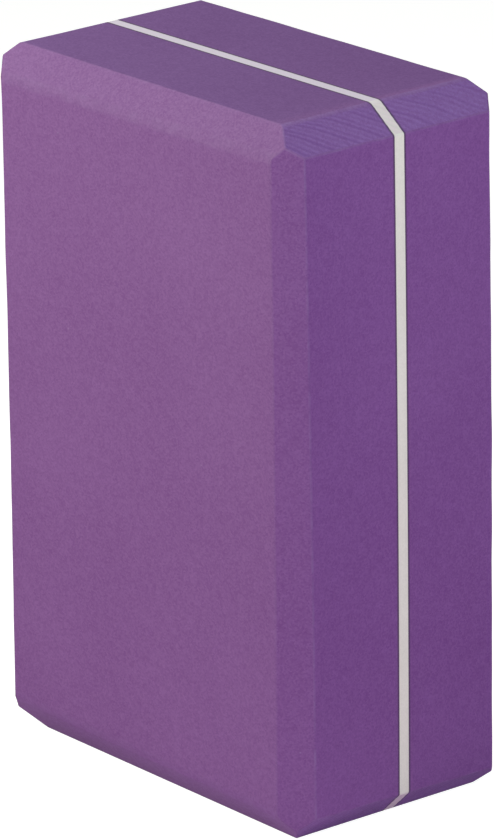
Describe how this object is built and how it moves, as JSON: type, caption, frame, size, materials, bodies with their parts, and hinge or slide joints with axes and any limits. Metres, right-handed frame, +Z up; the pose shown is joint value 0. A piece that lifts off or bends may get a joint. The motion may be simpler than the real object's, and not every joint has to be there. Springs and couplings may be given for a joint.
{
  "type": "yoga block",
  "caption": "Firm foam yoga block: a rectangular brick of thick purple boards glued to a thin white middle sheet, chamfered on every edge, used as a support to lean, sit or stand on.",
  "frame": {"origin": "middle of the bottom small end, on the surface that the block stands on", "axes": "+Z up the block's length, +X across the broad faces, +Y from the front broad face through the layers to the rear"},
  "size_m": [0.146, 0.09, 0.23],
  "materials": {
    "purple_foam": "matt, fine cut cells",
    "white_foam": "matt, fine cut cells",
    "dried_glue": "satin, dark where it was pressed out and cut"
  },
  "bodies": {
    "root": {"foam_half_front": "purple_foam", "foam_half_rear": "purple_foam", "centre_sheet": "white_foam", "glue_film_front": "dried_glue", "glue_film_rear": "dried_glue"}
  },
  "joints": []
}
